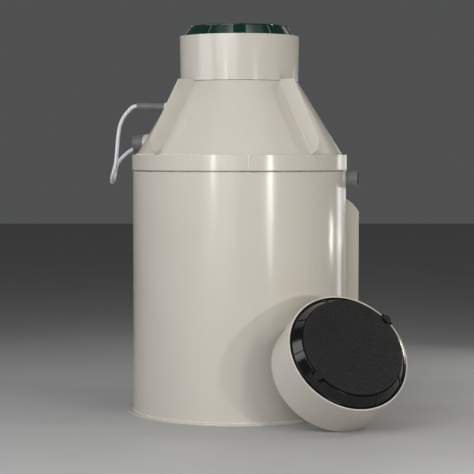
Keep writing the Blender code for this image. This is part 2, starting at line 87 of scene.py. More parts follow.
# Air hose, repeated from the part's source
HOSE_DIAMETER = 0.025
HOSE_ROUTE = (
    (-0.6439, 0.0451, 1.9654), (-0.6664, 0.0466, 1.9662), (-0.6768, 0.0472, 1.9655),
    (-0.6913, 0.0478, 1.9600), (-0.7096, 0.0468, 1.9433), (-0.7270, 0.0448, 1.9245),
    (-0.7437, 0.0422, 1.9031), (-0.7584, 0.0382, 1.8765), (-0.7705, 0.0325, 1.8466),
    (-0.7785, 0.0250, 1.8084), (-0.7845, 0.0160, 1.7631), (-0.7880, 0.0090, 1.7178),
    (-0.7911, 0.0050, 1.6726), (-0.7950, 0.0035, 1.6307), (-0.8004, 0.0035, 1.5887),
    (-0.8105, 0.0080, 1.5518), (-0.8200, 0.0220, 1.5219), (-0.8284, 0.0550, 1.4943),
    (-0.8275, 0.1035, 1.4714), (-0.8211, 0.1520, 1.4890), (-0.8158, 0.1800, 1.5201),
    (-0.8115, 0.1950, 1.5541), (-0.8041, 0.2035, 1.5843), (-0.7892, 0.2080, 1.6106),
    (-0.7689, 0.2110, 1.6349), (-0.7413, 0.2135, 1.6593), (-0.7116, 0.2135, 1.6810),
    (-0.6897, 0.2110, 1.6941), (-0.6602, 0.2025, 1.7020), (-0.6321, 0.1940, 1.7072),
)

# Hatch, in the frame of the rim that it closes: z = 0 at the rim, +Z outwards
SEAT_RADIUS, SKIRT_RADIUS, SKIRT_DEPTH, SKIRT_INNER = 0.3737, 0.3720, 0.060, 0.3650
SLOPE_FOOT_RADIUS, SLOPE_FOOT = 0.3600, 0.0015
CREST_RADIUS, CREST = 0.3220, 0.0580
THROAT, THROAT_FOOT_RADIUS, THROAT_TOP_RADIUS = -0.0075, 0.3555, 0.3265
COVER_RADIUS, COVER_CLEARANCE, COVER_SEAT = 0.3160, 0.0008, 0.0437
NECK_COVER_TOP, EXTENSION_COVER_TOP = 0.0680, 0.0780
LEDGE_INNER, LEDGE_BOTTOM = 0.2900, 0.0370
RIB_ANGLES = (32.5, 70.8, 109.2, 147.5, -32.5, -70.8, -109.2, -147.5)
RIB_THICKNESS, RIB_HEIGHT = 0.005, 0.006
LUG_WIDTH, LUG_TOP_RADIUS, LUG_FOOT_RADIUS = 0.080, 0.3500, 0.3640
LOCK_RADIUS, LOCK_CENTRE, LOCK_SUNK, LOCK_NOTCH = 0.028, 0.3260, 0.005, 0.002

# Neck extension ring
EXTENSION_RIM_X, EXTENSION_RIM_Y = 0.6477, -0.9402
EXTENSION_AZIMUTH, EXTENSION_ELEVATION = 24.0, 33.7
EXTENSION_LENGTH, EXTENSION_RADIUS, EXTENSION_LOCK_ANGLE = 0.286, 0.384, 32.0

# Dressing: rounded edges of the plates, studs on the covers, and how far below a rim the rows of
# points start that carry the sheet's waves
PLATE_EDGE, ROW_MARGIN = 0.0014, 0.006
STUD_PITCH, STUD_HALF_LENGTH, STUD_HALF_WIDTH, STUD_HEIGHT = 0.0240, 0.0100, 0.0044, 0.0030
STUD_RIM_MARGIN, STUD_LOCK_MARGIN = 0.018, 0.044

# Weld beads: half width, and how far they stand proud
BAND_BEAD, ROOF_BEAD, BASE_BEAD = (0.0062, 0.0030), (0.0052, 0.0036), (0.0052, 0.0034)
GUSSET_BEAD, FIN_BEAD, SEAM_BEAD = (0.0040, 0.0026), (0.0042, 0.0028), (0.0034, 0.0009)
INLET_BEAD, PIPE_BEAD = (0.0095, 0.0085), (0.0044, 0.0032)
BEAD_STEP, BEAD_RIPPLE, BEAD_SIDES = 0.0023, 0.009, 8
SEAM_AZIMUTH, TACKS = 4.6, 7

# Looks
PLASTIC_IOR, PLAIN_SPECULAR, COVER_SPECULAR = 1.49, 0.5, 0.28

# Lights: azimuth, height, distance, width, height of the lit face, power, colour if not white
WHITE, WARM = (1.0, 1.0, 1.0), (1.0, 0.96, 0.88)
LIGHTS = {
    "left_strip": (-25.5, 1.8, 5.0, 0.2, 0.9, 14.3),
    "right_strip": (29.8, 1.62, 4.5, 0.24, 0.9, 22.0, (1.0, 0.97, 0.90)),
    "right_low": (29.8, 1.0, 4.5, 0.24, 0.5, 4.7),
    "small_box": (109.4, 0.96, 4.2, 0.22, 0.28, 5.0),
    "rim_strip": (127.0, 1.55, 4.0, 0.75, 1.4, 10.5),
    "rim_low": (127.0, 0.65, 4.0, 0.7, 0.6, 2.7),
    "left_panel": (-24.0, 3.6, 5.5, 4.0, 2.5, 148.0),
    "low_panel": (-20.0, 1.4, 6.5, 4.0, 1.8, 34.1),
    "side_panel": (-66.0, 3.2, 5.5, 3.0, 2.5, 64.0),
    "overhead": (0.0, 6.5, 0.6, 5.0, 5.0, 45.1),
    "key_hard": (80.0, 3.6, 4.5, 0.16, 0.16, 34.0, WARM),
    "rim_mid": (140.0, 1.55, 4.0, 0.9, 1.4, 3.4),
    "rim_back": (153.0, 1.55, 4.0, 0.9, 1.4, 4.0),
    "rim_high": (124.0, 4.1, 4.0, 2.4, 1.4, 13.0, WARM),
    "ring_key": (37.5, 0.95, 4.5, 0.12, 0.12, 30.0, (1.0, 0.98, 0.94)),
    "left_back": (-150.0, 3.3, 4.0, 0.9, 0.9, 10.0),
    "top_strip": (0.0, 6.0, 1.5, 3.0, 0.25, 9.0),
}
# This one casts the ring's shadow, and isn't mirrored in the wall
UNMIRRORED_LIGHT = "ring_key"
LIGHT_AIM, FLOOR_HALF_SIDE = 1.2, 30.0
WORLD_COLOUR, WORLD_STRENGTH = (0.80, 0.81, 0.83, 1.0), 0.10


def add_object(name, data):
    obj = bpy.data.objects.new(name, data)
    bpy.context.scene.collection.objects.link(obj)
    return obj


def direction(azimuth):
    """Unit vector pointing out from the tank's axis at this azimuth."""
    angle = math.radians(azimuth)
    return Vector((math.sin(angle), -math.cos(angle), 0.0))


# Camera and hose


def make_camera():
    data = bpy.data.cameras.new("camera")
    data.sensor_width = SENSOR
    data.lens = SENSOR * FOCAL_PIXELS / PICTURE_SIDE
    camera = add_object("camera", data)
    camera.location = CAMERA_PLACE
    camera.rotation_euler = (math.pi / 2 - CAMERA_PITCH, 0.0, 0.0)
    bpy.context.scene.camera = camera


def smooth_route(route, count):
    """Evenly spread points on the Catmull-Rom curve through the route's points, and its length."""
    points = [Vector(p) for p in route]
    padded = [2 * points[0] - points[1], *points, 2 * points[-1] - points[-2]]
    dense = []
    for a, b, c, d in zip(padded, padded[1:], padded[2:], padded[3:]):
        for i in range(24):
            t = i / 24
            low_terms = 2 * b + (c - a) * t + (2 * a - 5 * b + 4 * c - d) * t**2
            dense.append(0.5 * (low_terms + (3 * b - a - 3 * c + d) * t**3))
    dense.append(points[-1])
    dense = np.array([tuple(p) for p in dense])
    travelled = np.concatenate(([0.0], np.cumsum(np.linalg.norm(np.diff(dense, axis=0), axis=1))))
    wanted = np.linspace(0.0, travelled[-1], count)
    spread = np.stack([np.interp(wanted, travelled, dense[:, k]) for k in range(3)], axis=1)
    return spread, float(travelled[-1])


def make_hose(material):
    curve = bpy.data.curves.new("air_hose_run", "CURVE")
    curve.dimensions = "3D"
    curve.bevel_depth = HOSE_DIAMETER / 2
    curve.bevel_resolution = 6
    curve.use_fill_caps = True
    spline = curve.splines.new("POLY")
    points, length = smooth_route(HOSE_ROUTE, 140)
    spline.points.add(len(points) - 1)
    for point, place in zip(spline.points, points):
        point.co = (*place, 1.0)
    spline.use_smooth = True
    curve.materials.append(material)
    hose = add_object("air_hose_run", curve)
    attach(hose, "root")
    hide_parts("air_hose")


# Mesh helpers


def rounded(points, radii, steps=4, hold=0.0015, closed=True):
    """An outline with its corners rounded, and a point just past each end of a rounding."""
    result = []
    count = len(points)
    for i, radius in enumerate(radii):
        corner = Vector(points[i])
        if radius <= 0 or (not closed and i in (0, count - 1)):
            result.append(tuple(corner))
            continue
        before, after = Vector(points[i - 1]) - corner, Vector(points[(i + 1) % count]) - corner
        room = 0.47 * min(before.length, after.length)
        half = before.angle(after) / 2
        back = min(radius / math.tan(half), room)
        before.normalize()
        after.normalize()
        centre = corner + (before + after).normalized() * (back / math.cos(half))
        start, end = corner + before * back - centre, corner + after * back - centre
        held = back + min(hold, room - back)
        if held > back:
            result.append(tuple(corner + before * held))
        for k in range(steps + 1):
            arm = start.slerp(end, k / steps) * start.length
            result.append(tuple(centre + arm))
        if held > back:
            result.append(tuple(corner + after * held))
    return result


def between(first, last, count):
    """Points inside the straight line between two points, evenly spread."""
    a, b = np.array(first), np.array(last)
    return [tuple(a + (b - a) * i / count) for i in range(1, count)]


def add_rows(outline, limit, high, low, count):
    """Puts rows of points for a sheet's waves into an outline, after its last point that is beyond
    a limit of radius and height."""
    last = max(i for i, p in enumerate(outline) if p[0] > limit[0] and p[1] > limit[1])
    outline[last + 1:last + 1] = between(high, low, count)


def mesh_from(shape):
    """A mesh from a shape, with its double points merged and its faces turned outwards."""
    bmesh.ops.remove_doubles(shape, verts=shape.verts, dist=MERGE_DISTANCE)
    bmesh.ops.recalc_face_normals(shape, faces=shape.faces)
    mesh = bpy.data.meshes.new("shape")
    shape.to_mesh(mesh)
    shape.free()
    return mesh


def stitch(shape, rows, closed_rows=True, closed_columns=True):
    """Quads between rows of points, each row a ring of the same length."""
    grid = [[shape.verts.new(p) for p in row] for row in rows]
    count = len(grid[0])
    pairs = list(zip(grid, grid[1:]))
    if closed_columns:
        pairs.append((grid[-1], grid[0]))
    for low, high in pairs:
        for j in range(count if closed_rows else count - 1):
            k = (j + 1) % count
            shape.faces.new((low[j], low[k], high[k], high[j]))
    return grid


def drop_flat(shape):
    """Removes the faces without area that a turned outline leaves on its axis."""
    flat = [f for f in shape.faces if f.calc_area() < SMALLEST_AREA]
    bmesh.ops.delete(shape, geom=flat, context="FACES_ONLY")


def lathe(outline, steps, place=None, wave=None):
    """A closed (radius, height) outline turned about Z. wave(angles, radii, heights) gives each
    point's change of radius."""
    angles = np.arange(steps) * TURN / steps
    radii = np.array([p[0] for p in outline])
    heights = np.array([p[1] for p in outline])
    spread = np.repeat(radii[None, :], steps, axis=0)
    if wave is not None:
        spread = spread + wave(angles[:, None], radii[None, :], heights[None, :])
    rows = [
        [(r * math.cos(a), r * math.sin(a), z) for r, z in zip(row, heights)]
        for a, row in zip(angles, spread)
    ]
    shape = bmesh.new()
    stitch(shape, rows)
    if place is not None:
        bmesh.ops.transform(shape, matrix=place, verts=shape.verts)
    drop_flat(shape)
    return mesh_from(shape)


def inset(outline, distance):
    """A counter-clockwise outline moved inwards by a distance."""
    points = np.array(outline)
    ahead = np.roll(points, -1, axis=0) - points
    ahead /= np.linalg.norm(ahead, axis=1)[:, None]
    behind = np.roll(ahead, 1, axis=0)
    normal = np.stack((-(ahead + behind)[:, 1], (ahead + behind)[:, 0]), axis=1)
    normal /= np.linalg.norm(normal, axis=1)[:, None]
    stretch = np.clip(np.sum(normal * np.stack((-ahead[:, 1], ahead[:, 0]), axis=1), axis=1), 0.4, 1)
    return points + normal * (distance / stretch)[:, None]


def plate(outline, low, high, edge_low, edge_high, place, steps=3, hold=0.0012):
    """A flat plate between two heights with rounded edges, from a counter-clockwise outline."""
    quarter = [math.pi / 2 * i / steps for i in range(steps + 1)]
    levels = [(edge_low + hold, low)]
    levels += [(edge_low * (1 - math.sin(a)), low + edge_low * (1 - math.cos(a))) for a in quarter]
    levels.append((0.0, low + edge_low + hold))
    levels.append((0.0, high - edge_high - hold))
    levels += [(edge_high * (1 - math.cos(a)), high - edge_high * (1 - math.sin(a))) for a in quarter]
    levels.append((edge_high + hold, high))
    shape = bmesh.new()
    rows = [[(x, y, z) for x, y in inset(outline, d)] for d, z in levels]
    grid = stitch(shape, rows, closed_columns=False)
    shape.faces.new(list(reversed(grid[0])))
    shape.faces.new(grid[-1])
    bmesh.ops.transform(shape, matrix=place, verts=shape.verts)
    return mesh_from(shape)


def joined(meshes):
    """One mesh from several, which are removed."""
    shape = bmesh.new()
    for mesh in meshes:
        shape.from_mesh(mesh)
        bpy.data.meshes.remove(mesh)
    result = bpy.data.meshes.new("joined")
    shape.to_mesh(result)
    shape.free()
    return result


def soft_noise(along, total, seed, shortest):
    """A smooth random curve with a spread of about one, which closes on itself."""
    source = np.random.default_rng(seed)
    highest = max(3, int(total / shortest))
    waves = source.integers(1, highest + 1, size=20)
    phases = source.uniform(0.0, TURN, size=20)
    sizes = source.normal(size=20)
    curves = np.sin(TURN * np.outer(along / total, waves) + phases) * sizes
    return curves.sum(axis=1) / math.sqrt(10)


def bead(path, outward, section, seed, closed=False):
    """A hand-laid weld bead along a path, as a mesh. outward gives the way that it stands proud."""
    half_width, proud = section
    path, outward = np.array(path, float), np.array(outward, float)
    tangent = np.roll(path, -1, 0) - np.roll(path, 1, 0) if closed else np.gradient(path, axis=0)
    tangent /= np.linalg.norm(tangent, axis=1)[:, None]
    side = np.cross(outward, tangent)
    side /= np.linalg.norm(side, axis=1)[:, None]
    gaps = np.linalg.norm(np.diff(path, axis=0), axis=1)
    along = np.concatenate(([0.0], np.cumsum(gaps)))
    total = along[-1] + (np.linalg.norm(path[0] - path[-1]) if closed else 0.0)
    ripples = max(1, round(total / BEAD_RIPPLE))
    ripple = np.abs(np.sin(math.pi * ripples * along / total)) - 0.64
    size = 1.0 + 0.11 * soft_noise(along, total, seed, 0.05) + 0.16 * ripple
    size = np.clip(size, 0.6, 1.5)
    path = path + side * (0.10 * half_width * soft_noise(along, total, seed + 1, 0.04))[:, None]
    rows = []
    for k in range(len(path)):
        row = []
        for j in range(BEAD_SIDES):
            angle = TURN * j / BEAD_SIDES
            across, up = math.cos(angle), math.sin(angle)
            up = up if up > 0 else 0.55 * up
            level = side[k] * half_width * size[k] * across
            row.append(tuple(path[k] + level + outward[k] * proud * size[k] * up))
        rows.append(row)
    shape = bmesh.new()
    grid = stitch(shape, rows, closed_columns=closed)
    if not closed:
        shape.faces.new(list(reversed(grid[0])))
        shape.faces.new(grid[-1])
    return mesh_from(shape)


def ring_bead(radius, height, lean, section, seed):
    """A bead round the tank. lean is the way it stands proud, in degrees above level."""
    count = round(TURN * radius / BEAD_STEP)
    angles = np.arange(count) * TURN / count
    out = np.stack((np.cos(angles), np.sin(angles), np.zeros(count)), axis=1)
    path = out * radius + np.array((0.0, 0.0, height))
    slope = math.radians(lean)
    outward = out * math.cos(slope) + np.array((0.0, 0.0, math.sin(slope)))
    return bead(path, outward, section, seed, closed=True)


def line_bead(corners, outward, section, seed):
    """A bead along straight runs between corners, standing proud one way all along."""
    corners = [Vector(c) for c in corners]
    path = []
    for a, b in zip(corners, corners[1:]):
        count = max(2, round((b - a).length / BEAD_STEP))
        path += [tuple(a.lerp(b, i / count)) for i in range(count)]
    path.append(tuple(corners[-1]))
    ways = np.repeat([tuple(Vector(outward).normalized())], len(path), axis=0)
    return bead(path, ways, section, seed)


def add_piece(name, mesh, material, nodes=()):
    """Puts a mesh in the scene as a piece of the object, which stands for these nodes."""
    mesh.name = name
    obj = add_object(name, mesh)
    mesh.materials.clear()
    mesh.materials.append(material)
    mesh.shade_smooth()
    mesh.set_sharp_from_angle(angle=SHARP_ANGLE)
    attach(obj, "root")
    if nodes:
        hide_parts(*nodes)
    return obj


def cut(obj, cutter_mesh):
    """Takes a closed mesh out of a piece."""
    cutter = add_object("cutter", cutter_mesh)
    modifier = obj.modifiers.new("Cut", "BOOLEAN")
    modifier.operation = "DIFFERENCE"
    modifier.solver = "EXACT"
    modifier.object = cutter
    graph = bpy.context.evaluated_depsgraph_get()
    result = bpy.data.meshes.new_from_object(obj.evaluated_get(graph))
    obj.modifiers.remove(modifier)
    obj.data = result
    result.shade_smooth()
    result.set_sharp_from_angle(angle=SHARP_ANGLE)
    bpy.data.objects.remove(cutter, do_unlink=True)
    bpy.data.meshes.remove(cutter_mesh)


# Materials


class Nodes:
    """A material's node tree, with short calls for the nodes that these finishes share."""

    def __init__(self, name):
        self.material = bpy.data.materials.new(name)
        self.material.use_nodes = True
        self.tree = self.material.node_tree
        self.shader = self.tree.nodes["Principled BSDF"]
        self.place = self.tree.nodes.new("ShaderNodeTexCoord").outputs["Object"]

    def noise(self, scale, detail=3.0, roughness=0.5, stretch=(1.0, 1.0, 1.0), distortion=0.0):
        mapping = self.tree.nodes.new("ShaderNodeMapping")
        mapping.inputs["Scale"].default_value = stretch
        self.tree.links.new(self.place, mapping.inputs["Vector"])
        node = self.tree.nodes.new("ShaderNodeTexNoise")
        node.inputs["Scale"].default_value = scale
        node.inputs["Detail"].default_value = detail
        node.inputs["Roughness"].default_value = roughness
        node.inputs["Distortion"].default_value = distortion
        self.tree.links.new(mapping.outputs["Vector"], node.inputs["Vector"])
        return node.outputs["Fac"]

    def ranged(self, source, low, high, start=0.3, end=0.7):
        node = self.tree.nodes.new("ShaderNodeMapRange")
        node.inputs["From Min"].default_value = start
        node.inputs["From Max"].default_value = end
        node.inputs["To Min"].default_value = low
        node.inputs["To Max"].default_value = high
        self.tree.links.new(source, node.inputs["Value"])
        return node.outputs["Result"]

    def mixed(self, factor, first, second):
        node = self.tree.nodes.new("ShaderNodeMix")
        node.data_type = "RGBA"
        self.tree.links.new(factor, node.inputs["Factor"])
        for socket, value in ((node.inputs["A"], first), (node.inputs["B"], second)):
            if isinstance(value, tuple):
                socket.default_value = (*value, 1.0)
            else:
                self.tree.links.new(value, socket)
        return node.outputs["Result"]

    def bump(self, height, distance, strength=1.0, under=None):
        node = self.tree.nodes.new("ShaderNodeBump")
        node.inputs["Strength"].default_value = strength
        node.inputs["Distance"].default_value = distance
        self.tree.links.new(height, node.inputs["Height"])
        if under is not None:
            self.tree.links.new(under, node.inputs["Normal"])
        return node.outputs["Normal"]

    def finish(self, colour, roughness, normal, specular=PLAIN_SPECULAR):
        self.tree.links.new(colour, self.shader.inputs["Base Color"])
        self.tree.links.new(roughness, self.shader.inputs["Roughness"])
        self.tree.links.new(normal, self.shader.inputs["Normal"])
        self.shader.inputs["IOR"].default_value = PLASTIC_IOR
        self.shader.inputs["Specular IOR Level"].default_value = specular
        return self.material


def shell_finish(name, pale, deep, dusty, roughness=(0.15, 0.20)):
    """Extruded polypropylene sheet: satin, faintly mottled, with fine lines up the sheet."""
    nodes = Nodes(name)
    broad = nodes.ranged(nodes.noise(1.6, 3.0, 0.5), 0.0, 1.0)
    colour = nodes.mixed(broad, pale, deep)
    lines = nodes.ranged(nodes.noise(30.0, 3.0, 0.6, (1.0, 1.0, 0.03)), 0.0, 0.12)
    colour = nodes.mixed(lines, colour, dusty)
    scuffs = nodes.ranged(nodes.noise(24.0, 6.0, 0.7, distortion=0.4), 0.0, 0.30, 0.66, 0.86)
    colour = nodes.mixed(scuffs, colour, dusty)
    gloss = nodes.ranged(nodes.noise(5.0, 5.0, 0.6, (1.0, 1.0, 0.5), 0.4), *roughness)
    grain = nodes.bump(nodes.noise(620.0, 2.0), 0.00010, 0.4)
    normal = nodes.bump(nodes.noise(5.5, 2.0, 0.4, (1.0, 1.0, 0.30)), 0.0010, 0.5, grain)
    return nodes.finish(colour, gloss, normal)


def weld_finish(name, pale, deep):
    """Extruded weld rod: mottled along its length, and a little duller than the sheet."""
    nodes = Nodes(name)
    broad = nodes.ranged(nodes.noise(18.0, 4.0, 0.6), 0.0, 1.0)
    colour = nodes.mixed(broad, pale, deep)
    gloss = nodes.ranged(nodes.noise(60.0, 3.0), 0.20, 0.36)
    return nodes.finish(colour, gloss, nodes.bump(nodes.noise(420.0, 3.0), 0.0003, 0.5))


def pipe_finish():
    """Grey drain pipe: dull, with handling marks along it."""
    nodes = Nodes("grey_drain_pipe")
    broad = nodes.ranged(nodes.noise(11.0, 4.0, 0.6), 0.0, 1.0)
    colour = nodes.mixed(broad, (0.150, 0.150, 0.156), (0.108, 0.108, 0.114))
    scuffs = nodes.ranged(nodes.noise(55.0, 6.0, 0.75, distortion=0.8), 0.0, 0.6, 0.62, 0.82)
    colour = nodes.mixed(scuffs, colour, (0.24, 0.24, 0.24))
    gloss = nodes.ranged(nodes.noise(30.0, 4.0), 0.36, 0.52)
    return nodes.finish(colour, gloss, nodes.bump(nodes.noise(500.0, 3.0), 0.0002, 0.5))


def hose_finish():
    """Pale flexible hose: satin, slightly grimy."""
    nodes = Nodes("pale_air_hose")
    broad = nodes.ranged(nodes.noise(16.0, 4.0, 0.6), 0.0, 1.0)
    colour = nodes.mixed(broad, (0.70, 0.70, 0.735), (0.62, 0.62, 0.65))
    marks = nodes.ranged(nodes.noise(85.0, 5.0, 0.7), 0.0, 0.5, 0.62, 0.82)
    colour = nodes.mixed(marks, colour, (0.42, 0.41, 0.40))
    gloss = nodes.ranged(nodes.noise(40.0, 3.0), 0.30, 0.45)
    return nodes.finish(colour, gloss, nodes.bump(nodes.noise(260.0, 3.0), 0.0004, 0.4))


def moulded_finish(name, colours, roughness, dust, grain, specular=PLAIN_SPECULAR):
    """Injection moulded plastic: flow marks, a little dust, and its own grain. colours are those
    of the plastic, its flow marks and the dust."""
    base, lighter, dusty = colours
    nodes = Nodes(name)
    flow = nodes.ranged(nodes.noise(7.0, 4.0, 0.6, distortion=1.2), 0.0, 1.0)
    colour = nodes.mixed(flow, base, lighter)
    dusting = nodes.ranged(nodes.noise(38.0, 6.0, 0.75), 0.0, dust, 0.45, 0.80)
    colour = nodes.mixed(dusting, colour, dusty)
    gloss = nodes.ranged(nodes.noise(24.0, 5.0, 0.65, distortion=0.5), *roughness)
    return nodes.finish(colour, gloss, nodes.bump(nodes.noise(700.0, 3.0), grain, 0.6), specular)


def floor_finish():
    """Plain pale studio floor, matt and barely uneven."""
    nodes = Nodes("studio_floor")
    broad = nodes.ranged(nodes.noise(0.8, 3.0), 0.0, 1.0)
    colour = nodes.mixed(broad, (0.42, 0.42, 0.42), (0.39, 0.39, 0.39))
    gloss = nodes.ranged(nodes.noise(3.0, 3.0), 0.55, 0.7)
    return nodes.finish(colour, gloss, nodes.bump(nodes.noise(90.0, 3.0), 0.0004, 0.4))


# Tank


def sheet_wave(seed, size, tall):
    """Slow waves of a bent sheet, as a change of radius on its outer face."""
    source = np.random.default_rng(seed)
    terms = [(n, source.uniform(0, TURN), source.uniform(0, TURN), source.uniform(0.5, 1.0))
             for n in (5, 8, 11, 15, 19)]

    def wave(angles, radii, heights):
        total = 0.0
        for n, phase, lift, weight in terms:
            total = total + weight * np.sin(n * angles + phase + 1.6 * np.sin(heights / tall + lift)) / n
        return size * total

    return wave


def make_wall(material):
    low, high = BASE_THICKNESS + GAP, BODY_TOP
    inner = BODY_RADIUS - WALL
    outline = [(inner, high), (BODY_RADIUS, high), *between((BODY_RADIUS, high), (BODY_RADIUS, low), 44),
               (BODY_RADIUS, low), (inner, low)]
    outline += between((inner, low), (inner, high), 4)
    mesh = lathe(outline, 288, wave=sheet_wave(3, 0.0022, 0.5))
    wall = add_piece("tank_wall", mesh, material,
                     [f"wall_panel_{i}" for i in range(1, 9)])
    cut(wall, pipe_core("outlet"))


def roof_across(thickness):
    """Level measure of a thickness taken square to the sloping roof."""
    drop, run = ROOF_TOP - ROOF_FOOT, ROOF_FOOT_RADIUS - ROOF_TOP_RADIUS
    return thickness * math.hypot(drop, run) / drop


def roof_radius(height):
    share = (ROOF_TOP - height) / (ROOF_TOP - ROOF_FOOT)
    return ROOF_TOP_RADIUS + share * (ROOF_FOOT_RADIUS - ROOF_TOP_RADIUS)


def neck_radius(height):
    share = (height - NECK_BOTTOM) / (NECK_RIM - NECK_BOTTOM)
    return NECK_BOTTOM_RADIUS + share * (NECK_RIM_RADIUS - NECK_BOTTOM_RADIUS)


def make_roof(material):
    across = roof_across(WALL)
    top, foot = (ROOF_TOP_RADIUS, ROOF_TOP), (ROOF_FOOT_RADIUS, ROOF_FOOT)
    outline = [(ROOF_TOP_RADIUS - across, ROOF_TOP), top, *between(top, foot, 16), foot,
               (ROOF_FOOT_RADIUS - across, ROOF_FOOT)]
    mesh = lathe(outline, 240, wave=sheet_wave(7, 0.0018, 0.3))
    roof = add_piece("tank_roof", mesh, material,
                     [f"roof_panel_{i}" for i in range(1, 9)])
    cut(roof, pipe_core("inlet"))
    cut(roof, pipe_core("air"))


def make_band(material):
    inner = BODY_RADIUS + GAP
    lip_bottom = BAND_TOP - LIP_THICKNESS
    corners = [(LIP_INNER, BAND_TOP), (BAND_OUTER, BAND_TOP), (BAND_OUTER, BAND_BOTTOM),
               (inner, BAND_BOTTOM), (inner, lip_bottom), (LIP_INNER, lip_bottom)]
    outline = rounded(corners, (0.0008, 0.0022, 0.0018, 0.0, 0.0, 0.0))
    top, foot = (BAND_OUTER, BAND_TOP - ROW_MARGIN), (BAND_OUTER, BAND_BOTTOM + ROW_MARGIN)
    add_rows(outline, (BAND_OUTER - 1e-6, (BAND_BOTTOM + BAND_TOP) / 2), top, foot, 7)
    wave = sheet_wave(11, 0.0024, 0.06)

    def outer_only(angles, radii, heights):
        return wave(angles, radii, heights) * (radii > BODY_RADIUS + 0.003) - 0.0008

    mesh = lathe(outline, 288, wave=outer_only)
    band = add_piece("tank_band", mesh, material, ["top_band"])
    cut(band, pipe_core("outlet", BODY_RADIUS - 0.05, PIPES["outlet"][7] + GAP, 0.1))


def make_neck(material):
    outer = ROOF_TOP_RADIUS - roof_across(WALL) - GAP
    inner_rim = NECK_RIM_RADIUS - WALL
    corners = [(inner_rim, NECK_RIM), (NECK_RIM_RADIUS, NECK_RIM), (NECK_BOTTOM_RADIUS, NECK_BOTTOM),
               (outer + GAP, NECK_BOTTOM)]
    outline = rounded(corners, (0.0012, 0.0022, 0.0018, 0.0))
    high, low = (NECK_RIM_RADIUS, NECK_RIM - ROW_MARGIN), (NECK_BOTTOM_RADIUS, NECK_BOTTOM + ROW_MARGIN)
    add_rows(outline, (inner_rim + 0.006, NECK_RIM - ROW_MARGIN), high, low, 12)
    wave = sheet_wave(19, 0.0010, 0.1)
    mesh = lathe(outline, 216, wave=lambda a, r, z: wave(a, r, z) * (r > inner_rim + 0.003))
    add_piece("tank_neck", mesh, material, ["neck_ring"])

    corners = [(outer - COLLAR_WALL, COLLAR_TOP), (outer, COLLAR_TOP), (outer, COLLAR_BOTTOM),
               (outer - COLLAR_WALL, COLLAR_BOTTOM)]
    mesh = lathe(rounded(corners, (0.001,) * 4, 2), 144)
    add_piece("neck_collar", mesh, material, ["roof_collar"])


def make_base(material):
    corners = [(0.0, BASE_THICKNESS), (BASE_RADIUS, BASE_THICKNESS), (BASE_RADIUS, 0.0), (0.0, 0.0)]
    outline = rounded(corners, (0.0, 0.0022, 0.0016, 0.0))
    rim_wave = sheet_wave(23, 0.0012, 0.5)
    mesh = lathe(outline, 240, wave=lambda a, r, z: (rim_wave(a, r, z) - 0.0010) * (r > BASE_FLANGE))
    add_piece("tank_base", mesh, material, ["base_plate"])


def upright(azimuth):
    """Frame of an upright plate: X outwards, Y up, Z across it."""
    x, y = direction(azimuth), AXIS_Z
    z = x.cross(y)
    return Matrix((x, y, z)).transposed().to_4x4()


def make_gussets(material, weld):
    clear = roof_across(GAP)
    neck_side = neck_radius(GUSSET_TOP) + GAP
    pitch = (ROOF_TOP - ROOF_FOOT) / (ROOF_FOOT_RADIUS - ROOF_TOP_RADIUS)
    neck_foot = (neck_side, ROOF_TOP - (neck_side - ROOF_TOP_RADIUS - clear) * pitch)
    roof_foot = (ROOF_FOOT_RADIUS + clear, ROOF_FOOT)
    outline = [(neck_side + 0.009, GUSSET_TOP), (neck_side, GUSSET_TOP - 0.006), neck_foot, roof_foot,
               (GUSSET_FOOT_RADIUS, ROOF_FOOT), *reversed(GUSSET_OUTER)]
    outline = rounded(outline, (0.003, 0.0, 0.0, 0.0, 0.002, 0.006, 0.012, 0.008))
    half = GUSSET_THICKNESS / 2
    beads = []
    slope = Vector((pitch, 1.0, 0.0)).normalized()
    for number, azimuth in enumerate(GUSSET_AZIMUTHS, start=1):
        place = upright(azimuth)
        mesh = plate(outline, -half, half, PLATE_EDGE, PLATE_EDGE, place)
        add_piece(f"gusset_plate_{number}", mesh, material, [f"gusset_{number}"])
        for side in (-1, 1):
            ends = [place @ Vector((x, y, side * half)) for x, y in (neck_foot, roof_foot)]
            outward = place.to_3x3() @ (slope + Vector((0.0, 0.0, side)))
            beads.append(line_bead(ends, outward, GUSSET_BEAD, 40 + number * 2 + side))
    add_piece("gusset_welds", joined(beads), weld)


def arc_through(first, middle, last, steps):
    """Points on the circle through three points, from first to last."""
    (ax, az), (bx, bz), (cx, cz) = first, middle, last
    d = 2 * (ax * (bz - cz) + bx * (cz - az) + cx * (az - bz))
    a2, b2, c2 = ax * ax + az * az, bx * bx + bz * bz, cx * cx + cz * cz
    ux = (a2 * (bz - cz) + b2 * (cz - az) + c2 * (az - bz)) / d
    uz = (a2 * (cx - bx) + b2 * (ax - cx) + c2 * (bx - ax)) / d
    radius = math.hypot(ax - ux, az - uz)
    start, end = math.atan2(az - uz, ax - ux), math.atan2(cz - uz, cx - ux)
    angles = [start + (end - start) * i / steps for i in range(steps + 1)]
    return [(ux + radius * math.cos(a), uz + radius * math.sin(a)) for a in angles]


